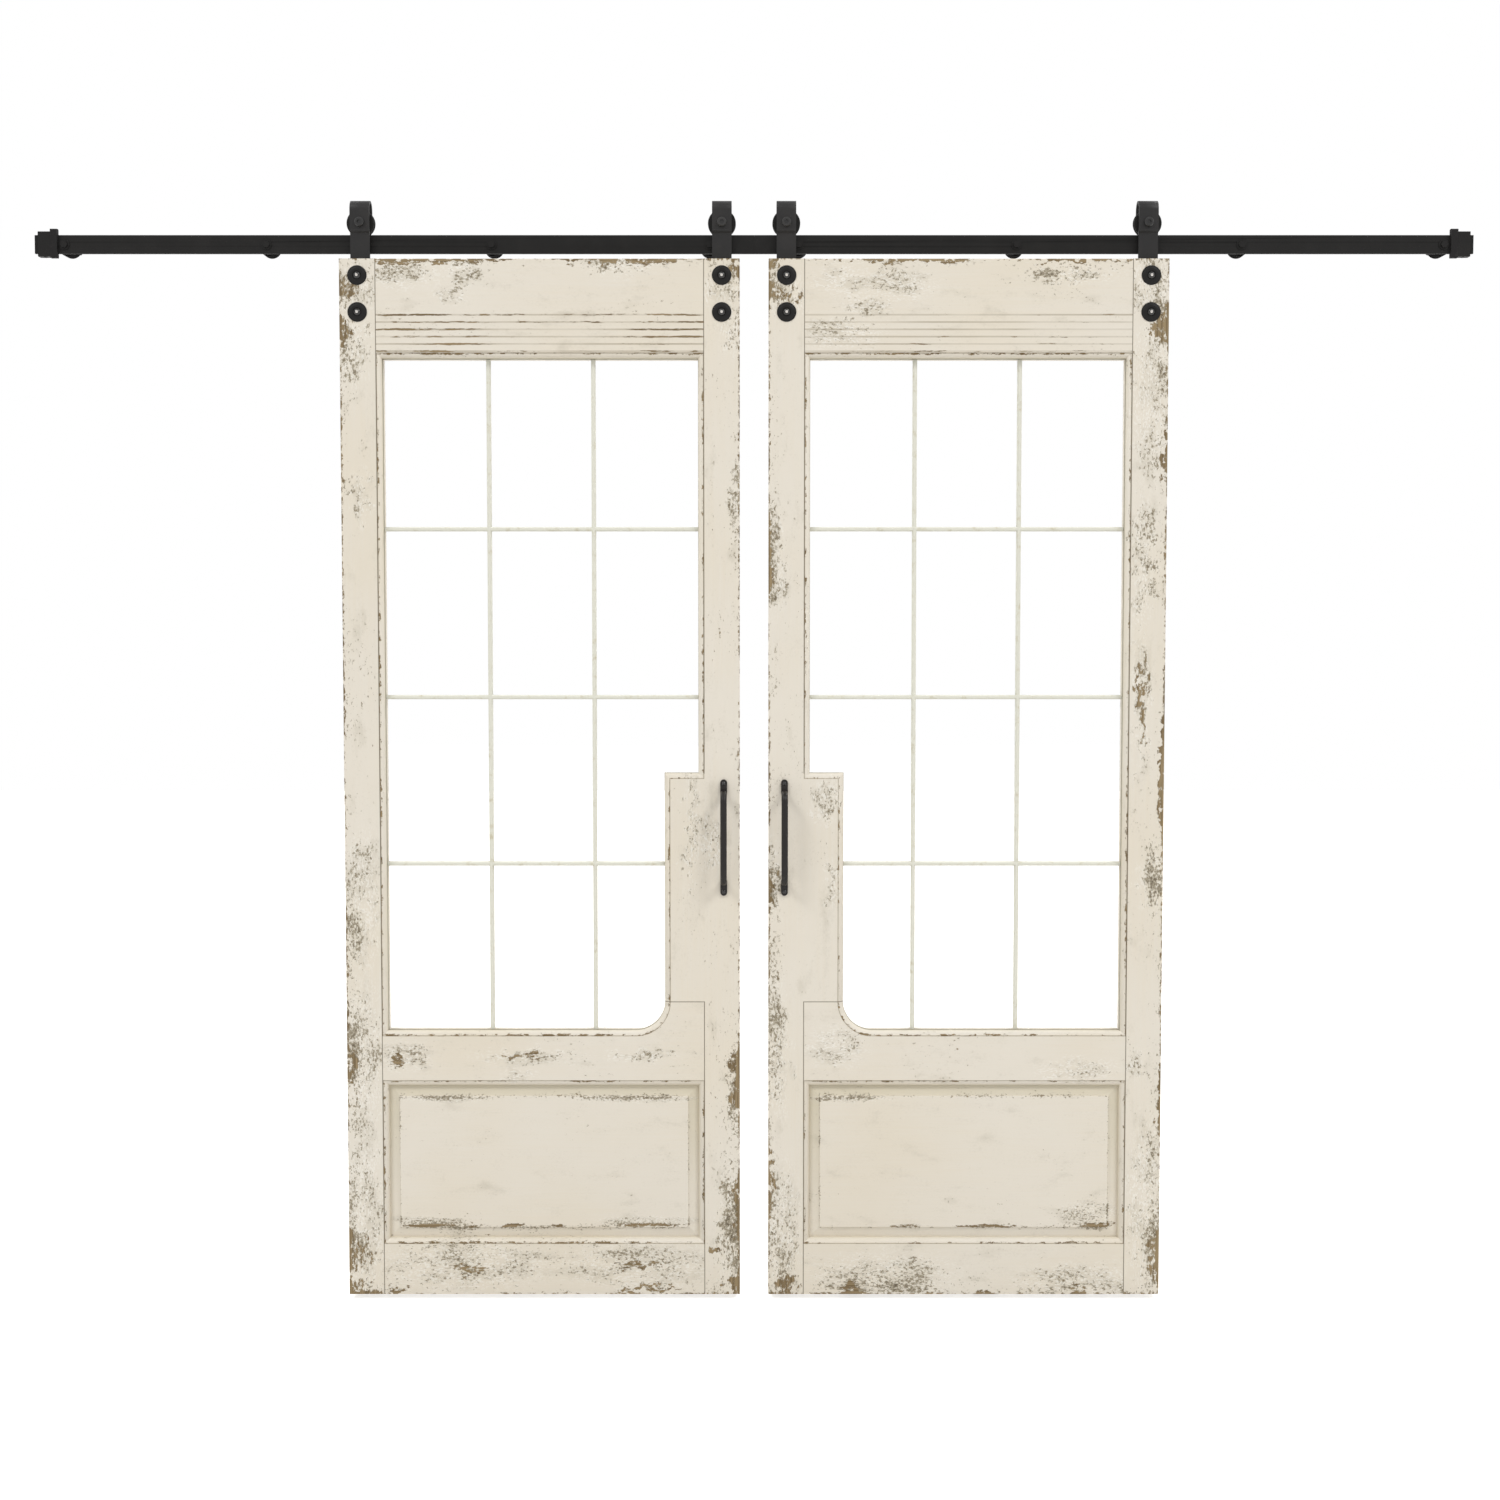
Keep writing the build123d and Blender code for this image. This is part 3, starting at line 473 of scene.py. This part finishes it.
def paint_colour(graph, marks, recess, glaze_and_shade_shares, deep_shade_share):
    """Cream paint with mottle, glaze and painted shade in its recesses, darker painted shade deepest by the
    glass, dirt and painted shade in the quirks, stains, and white specks that are partly painted
    highlights.
    """
    warmth = graph.ramp(graph.total(marks.drift, (0.4, marks.grain)), -0.2, 0.25)
    mottle = graph.ramp(graph.total((0.6, marks.crackle), (0.5, marks.patch), (0.3, marks.chip)), 0.0, 0.25)
    above_panel = graph.ramp(graph.z, panel_high.z, panel_high.z + bead_width)
    # Painted shade in the deep mouldings above the panel, round the glass
    deep_shade = graph.product(graph.ramp(marks.depth, *deep_shade_depths), marks.in_front, above_panel, deep_shade_share)
    # Dirt and painted shade along the quirks
    quirk_dirt_and_shade = graph.product(graph.band(marks.depth, *quirk_depths), marks.within)
    stain = graph.ramp(graph.total(marks.patch, (0.25, marks.place)), 0.10, 0.30)
    # White specks at worn places, partly painted highlights
    whitened_and_highlit = graph.product(graph.ramp(marks.speck, 0.02, 0.10), marks.place)
    paint = graph.mix(warmth, cream, warm_cream)
    paint = graph.mix(graph.product(mottle, 0.2), paint, grime)
    # Glaze and painted shade in the recesses
    paint = graph.mix(glaze_and_shade_in_recess(graph, marks, recess, glaze_and_shade_shares), paint, glaze_dirt_and_shade)
    paint = graph.mix(deep_shade, paint, deep_shade_colour)
    paint = graph.mix(graph.product(quirk_dirt_and_shade, 0.7), paint, quirk_dirt_and_shade_colour)
    paint = graph.mix(graph.product(stain, 0.25), paint, grime)
    return graph.mix(graph.product(whitened_and_highlit, 0.5), paint, white_speck_and_highlight)


def flute_marks(graph, marks, streak_places):
    """Shares of a line of dirt and painted shade in the flutes, and of bare wood along them, which come and
    go in streaks.
    """
    flute = flute_gap(graph)
    streaks = graph.drawn_out("X", streak_squeeze)
    fade = graph.ramp(graph.noise(streaks, *fade_noise), -0.15, 0.15)
    cut = graph.product(graph.ramp(flute, *flute_line), marks.in_front)
    line = graph.product(cut, graph.total(0.22, (0.42, fade)))
    score = graph.total(
        (1.2, graph.noise(streaks, *streak_noise)),
        (0.4, marks.cluster),
        (0.22, graph.ramp(flute, *flute_wear)),
        (0.10, graph.near(streak_places, marks.position)),
    )
    return line, graph.product(graph.ramp(score, *streak_limits), marks.in_front)


def painted_wood(
    name, along, rim, edge_wear, fringe, recess, glaze_and_shade_shares, deep_shade_share, crest_wear, stray, places
):
    """Old cream paint on wood: brushed along the board, rubbed through at its edges and flecked.

    rim gives the distance to the worn edges, edge_wear how much they are worn, and fringe how much and
    how far in they are flecked. recess has the depths between which glaze and painted shade gather,
    glaze_and_shade_shares how much of them there is at the panel's foot and at its head, deep_shade_share
    how dark the painted shade is in the deepest part, crest_wear the wear on mouldings, and places the
    worn places, whose outlines stray by about a fifth of stray.
    """
    graph = Graph(name)
    marks = Marks(graph, along, places, stray)
    edge = rim(graph)
    bare = bare_share(graph, marks, edge, edge_wear, crest_wear)
    level = fleck_level(graph, marks, edge, fringe)
    flecked = graph.ramp(level, *fleck_limits)
    joint = graph.ramp(joint_gap(graph), *joint_reach)
    colour = paint_colour(graph, marks, recess, glaze_and_shade_shares, deep_shade_share)
    if "streak" in places:
        line, streaked = flute_marks(graph, marks, places["streak"])
        # Dirt and painted shade along the flutes
        colour = graph.mix(line, colour, flute_dirt_and_shade)
        bare = graph.most(bare, streaked)
    wood = graph.mix(graph.ramp(marks.grain, -0.15, 0.15), bare_wood, dark_wood)
    fleck = graph.mix(graph.ramp(level, *dark_fleck_limits), light_fleck, dark_fleck)
    colour = graph.mix(graph.product(joint, 0.8), colour, joint_colour)
    colour = graph.mix(flecked, colour, fleck)
    colour = graph.mix(bare, colour, wood)
    gone = graph.most(bare, graph.product(flecked, 0.8))
    roughness = graph.total(0.55, (0.25, gone), (0.15, marks.grain))
    graph.shade(base_color=colour, roughness=roughness, specular_ior_level=0.3)
    graph.bump(graph.total((-0.6, gone), (0.35, marks.grain)), distance=0.0005)
    return graph.material


def painted_bar():
    """Thin glazing bars: plain cream paint with a little grime."""
    graph = Graph("painted_bar")
    dirt = graph.noise(graph.position, scale=45, detail=4, roughness=0.65)
    fine = graph.noise(graph.position, scale=500, detail=2, roughness=0.5)
    colour = graph.mix(graph.ramp(dirt, 0.02, 0.3), bar_cream, glaze_dirt_and_shade)
    graph.shade(base_color=colour, roughness=graph.total(0.55, (0.3, dirt)), specular_ior_level=0.3)
    graph.bump(graph.total(dirt, (0.4, fine)), distance=0.0003)
    return graph.material


def black_steel(name, colour, rubbed, roughness, specular):
    """Satin black coat with a fine texture and faint rubbed patches."""
    graph = Graph(name)
    rub = graph.noise(graph.position, scale=18, detail=4, roughness=0.6)
    texture = graph.noise(graph.position, scale=900, detail=2, roughness=0.5)
    coat = graph.mix(graph.ramp(rub, -0.1, 0.3), colour, rubbed)
    polish = graph.total(roughness, (0.35, rub), (0.2, texture))
    graph.shade(base_color=coat, roughness=polish, specular_ior_level=specular)
    graph.bump(texture, distance=0.00012)
    return graph.material


def glint_crowned_steel(crown_front):
    """Glossy black bolt heads with a painted glint on their crowns: a bright metallic patch at the tip."""
    graph = Graph("glint_crowned_steel")
    rub = graph.noise(graph.position, scale=400, detail=3, roughness=0.6)
    start, full = [crown_front + depth for depth in glint_depths]
    # Painted glint: the tip of each head is bright metal
    crown = graph.ramp(graph.total(graph.y, (0.0003, rub)), start, full)
    colour = graph.mix(crown, bolt_dark, crown_glint)
    graph.shade(base_color=colour, metallic=crown, roughness=graph.total(0.2, (0.3, rub)))
    graph.bump(rub, distance=0.0001)
    return graph.material


def bearing_steel():
    """Ground steel with fine polish marks."""
    graph = Graph("bearing_steel")
    rub = graph.noise(graph.position, scale=260, detail=3, roughness=0.6)
    colour = graph.mix(graph.ramp(rub, -0.2, 0.2), steel_dull, steel_bright)
    graph.shade(base_color=colour, roughness=graph.total(0.32, (0.3, rub)), metallic=1.0)
    return graph.material


def clear_glass():
    """Clear window glass with a trace of dust in its roughness."""
    graph = Graph("clear_glass")
    dust = graph.noise(graph.position, scale=30, detail=4, roughness=0.6)
    graph.shade(base_color=white, roughness=graph.ramp(dust, 0.15, 8.0))
    graph.shade(transmission_weight=1.0, alpha=glass_cover, ior=1.5)
    return graph.material


def rubber():
    """Matt black rubber, slightly dusty."""
    graph = Graph("black_rubber")
    dust = graph.noise(graph.position, scale=70, detail=4, roughness=0.65)
    colour = graph.mix(graph.ramp(dust, 0, 0.35), rubber_black, rubber_dust)
    graph.shade(base_color=colour, roughness=graph.total(0.75, (0.3, dust)), specular_ior_level=0.2)
    graph.bump(dust, distance=0.0002)
    return graph.material


def ease(node, width):
    """Rounds a node's sharp edges a little, as paint or powder coat leaves them."""
    weld = node.modifiers.new("weld", "WELD")
    weld.merge_threshold = weld_reach
    bevel = node.modifiers.new("ease", "BEVEL")
    bevel.width = width
    bevel.segments = easing_segments
    bevel.limit_method = "ANGLE"
    bevel.angle_limit = sharp_angle
    bevel.harden_normals = True


def dress(suffixes, material, easing=0.0):
    """Gives a material, and eased edges, to the nodes whose names end in one of the suffixes."""
    for name, node in nodes.items():
        if name.endswith(suffixes):
            node.data.materials.clear()
            node.data.materials.append(material)
            if easing:
                ease(node, easing)


def dome(radius, height):
    """Profile of a domed head from its crown to its rim, as (radius, depth behind the crown)."""
    sphere = (radius**2 + height**2) / (2 * height)
    reach = math.asin(radius / sphere)
    angles = [reach * step / dome_steps for step in range(1, dome_steps + 1)]
    return [(sphere * math.sin(angle), sphere * (1 - math.cos(angle))) for angle in angles]


def turned_points(crown, profile):
    """Points of a form turned about a line along Y: its crown, then a ring for each profile point."""
    points = [crown]
    turns = [2 * math.pi * step / turned_sides for step in range(turned_sides)]
    x, y, z = crown
    for radius, depth in profile:
        points += [(x + radius * math.cos(t), y + depth, z + radius * math.sin(t)) for t in turns]
    return points


def turned_faces(crown, ring_count):
    """Faces of a turned form whose crown is the point of that number, closed at its far end."""
    starts = [crown + 1 + ring * turned_sides for ring in range(ring_count)]
    rings = [range(start, start + turned_sides) for start in starts]
    faces = []
    for step in range(turned_sides):
        after = (step + 1) % turned_sides
        faces.append((crown, rings[0][step], rings[0][after]))
        faces += [(a[step], b[step], b[after], a[after]) for a, b in zip(rings, rings[1:])]
    return faces + [tuple(rings[-1])]


def turn_fasteners(side, kind, sizes, material):
    """Fasteners with domed heads in place of a node, one at each corner of the node's box."""
    head_radius, head_height, shank_radius = sizes
    replaced = f"{side}_{kind}"
    low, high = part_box(replaced)
    profile = dome(head_radius, head_height)
    profile += [(shank_radius, head_height), (shank_radius, high.y - low.y)]
    columns = sorted({round(x, 5) for x in (low.x + head_radius, high.x - head_radius)})
    rows = sorted({round(z, 5) for z in (low.z + head_radius, high.z - head_radius)})
    points, faces = [], []
    for x in columns:
        for z in rows:
            faces += turned_faces(len(points), len(profile))
            points += turned_points((x, low.y, z), profile)
    mesh = bpy.data.meshes.new(f"{side}_domed_{kind}")
    mesh.from_pydata(points, [], faces)
    mesh.shade_smooth()
    mesh.set_sharp_from_angle(angle=sharp_angle)
    mesh.materials.append(material)
    piece = bpy.data.objects.new(mesh.name, mesh)
    bpy.context.scene.collection.objects.link(piece)
    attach(piece, f"{side}_door")
    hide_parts(replaced)


def add_light(name, power, turn):
    """A soft square lamp that looks at the middle of the doors; turn is from the front, to the right."""
    lamp = bpy.data.lights.new(name, "AREA")
    lamp.energy = power
    lamp.size = lamp_size
    lit = bpy.data.objects.new(name, lamp)
    level = math.cos(lamp_height)
    away = Vector((math.sin(turn) * level, -math.cos(turn) * level, math.sin(lamp_height)))
    lit.location = door_middle + lamp_distance * away
    lit.rotation_euler = away.to_track_quat("Z", "Y").to_euler()
    bpy.context.scene.collection.objects.link(lit)


def seen_directly(tree):
    """1 for rays that show the background: from the camera, in reflections and through glass."""
    path = tree.nodes.new("ShaderNodeLightPath")
    shares = [path.outputs[name] for name in ("Is Camera Ray", "Is Glossy Ray", "Is Transmission Ray")]
    value = shares[0]
    for share in shares[1:]:
        node = tree.nodes.new("ShaderNodeMath")
        node.operation = "MAXIMUM"
        tree.links.new(value, node.inputs[0])
        tree.links.new(share, node.inputs[1])
        value = node.outputs[0]
    return value


def set_world():
    """Even light all round, and a white background where it is seen directly."""
    world = bpy.data.worlds.new("studio")
    bpy.context.scene.world = world
    world.use_nodes = True
    tree = world.node_tree
    even = tree.nodes["Background"]
    plain = tree.nodes.new("ShaderNodeBackground")
    for background, strength in ((even, world_strength), (plain, 1.0)):
        background.inputs["Color"].default_value = white
        background.inputs["Strength"].default_value = strength
    choice = tree.nodes.new("ShaderNodeMixShader")
    for socket, source in zip(choice.inputs, (seen_directly(tree), even.outputs[0], plain.outputs[0])):
        tree.links.new(source, socket)
    tree.links.new(choice.outputs[0], tree.nodes["World Output"].inputs["Surface"])


def pale_floor():
    """Matt pale paint, lifted to white where it is seen directly."""
    graph = Graph("pale_floor")
    graph.shade(base_color=floor_pale, roughness=0.9)
    tree = graph.tree
    lift = tree.nodes.new("ShaderNodeEmission")
    tree.links.new(graph.product(seen_directly(tree), floor_lift), lift.inputs["Strength"])
    both = tree.nodes.new("ShaderNodeAddShader")
    tree.links.new(graph.shader.outputs[0], both.inputs[0])
    tree.links.new(lift.outputs[0], both.inputs[1])
    tree.links.new(both.outputs[0], tree.nodes["Material Output"].inputs["Surface"])
    return graph.material


def add_floor():
    """A floor just below the doors, which keeps their shadow."""
    mesh = bpy.data.meshes.new("floor")
    level = cad_low.z - floor_drop
    corners = [(x * floor_reach, y * floor_reach, level) for x, y in ((-1, -1), (1, -1), (1, 1), (-1, 1))]
    mesh.from_pydata(corners, [], [(0, 1, 2, 3)])
    mesh.materials.append(pale_floor())
    floor = bpy.data.objects.new("floor", mesh)
    bpy.context.scene.collection.objects.link(floor)


def add_camera():
    """A camera in front of the doors, a little below their middle and looking slightly down."""
    camera = bpy.data.objects.new("camera", bpy.data.cameras.new("camera"))
    camera.data.lens = camera_lens
    camera.data.clip_end = camera_reach
    camera.location = camera_place
    camera.rotation_euler = (math.pi / 2 + camera_pitch, 0, 0)
    bpy.context.scene.collection.objects.link(camera)
    bpy.context.scene.camera = camera


# Painted wood: depths where glaze and painted shade gather, shares of them, and fringes of flecks along the
# edges
moulding, bevel = (0.003, 0.013), (0.0065, 0.011)
even, strong, rising = (0.35, 0.35), (0.85, 0.85), (0.0, 0.5)
wide, narrow = (0.08, 0.05), (0.15, 0.012)
stile_paint = painted_wood(
    "painted_stile", "Z", door_rim, edge_wear=0.25, fringe=wide, recess=moulding, glaze_and_shade_shares=even,
    deep_shade_share=0.8, crest_wear=0.18, stray=0.08, places=stile_places,
)
rail_paint = painted_wood(
    "painted_rail", "X", door_rim, edge_wear=0.25, fringe=wide, recess=moulding, glaze_and_shade_shares=even,
    deep_shade_share=0.8, crest_wear=0.20, stray=0.06, places=rail_places,
)
# The top rail takes strong glaze and painted shade, for the shade under its moulding
fluted_paint = painted_wood(
    "painted_fluted_rail", "X", door_rim, edge_wear=0.2, fringe=wide, recess=moulding, glaze_and_shade_shares=strong,
    deep_shade_share=1.0, crest_wear=0.22, stray=0.06, places=fluted_places,
)
# The panel's glaze and painted shade rise towards its head, where the lock rail's moulding shades it
panel_paint = painted_wood(
    "painted_panel", "X", field_rim, edge_wear=0.06, fringe=narrow, recess=bevel, glaze_and_shade_shares=rising,
    deep_shade_share=0, crest_wear=0, stray=0.012, places=panel_places,
)
dress(("outer_stile", "meeting_stile", "glazing_beads"), stile_paint, wood_easing)
dress(("lock_rail", "bottom_rail"), rail_paint)
dress("top_rail", fluted_paint)
dress("raised_panel", panel_paint, panel_easing)
dress("glazing_bars", painted_bar(), thin_easing)

# Black steel
rail_black = black_steel("rail_black", tone(22, 21, 20), tone(30, 29, 28), roughness=0.55, specular=0.2)
pull_black = black_steel("pull_black", tone(22, 18, 16), tone(33, 29, 27), roughness=0.42, specular=0.3)
# The spacers under the rail take a darker, unreflecting copy of the rail's black: painted shade
shaded_spacer_black = black_steel("shaded_spacer_black", tone(16, 15, 15), tone(22, 21, 21), roughness=0.8, specular=0.02)
strap_black = black_steel("strap_black", tone(29, 28, 28), tone(40, 38, 37), roughness=0.5, specular=0.32)
bolt_black = black_steel("bolt_black", tone(26, 25, 25), tone(44, 42, 41), roughness=0.12, specular=0.5)
dress(("rail_half", "stop_block"), rail_black, thin_easing)
dress(("lag_bolts", "hanger_washers", "_wheel"), rail_black)
dress("pull_handle", pull_black, thin_easing)
dress("rail_spacers", shaded_spacer_black)
dress("hanger_strap", strap_black, thin_easing)
dress(("hanger_nuts", "axle_bolts", "axle_nuts", "stop_screws"), bolt_black)
# Bolt heads with a painted glint on their crowns
glint_crowned = glint_crowned_steel(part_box("right_hanger_bolts")[0].y)
for side in ("left", "right"):
    turn_fasteners(side, "hanger_bolts", bolt_sizes, glint_crowned)
    turn_fasteners(side, "handle_screws", screw_sizes, bolt_black)

# Glass, rubber and bright steel
dress("glass_pane", clear_glass())
dress("stop_bumper", rubber())
dress(("wheel_bearing", "axle_washers"), bearing_steel())

# Studio
add_light("key_left", left_key, -lamp_turn)
add_light("key_right", right_key, lamp_turn)
add_light("rear_left", rear_key, math.pi + lamp_turn)
add_light("rear_right", rear_key, math.pi - lamp_turn)
set_world()
add_floor()
add_camera()
bpy.context.scene.view_settings.view_transform = "Standard"
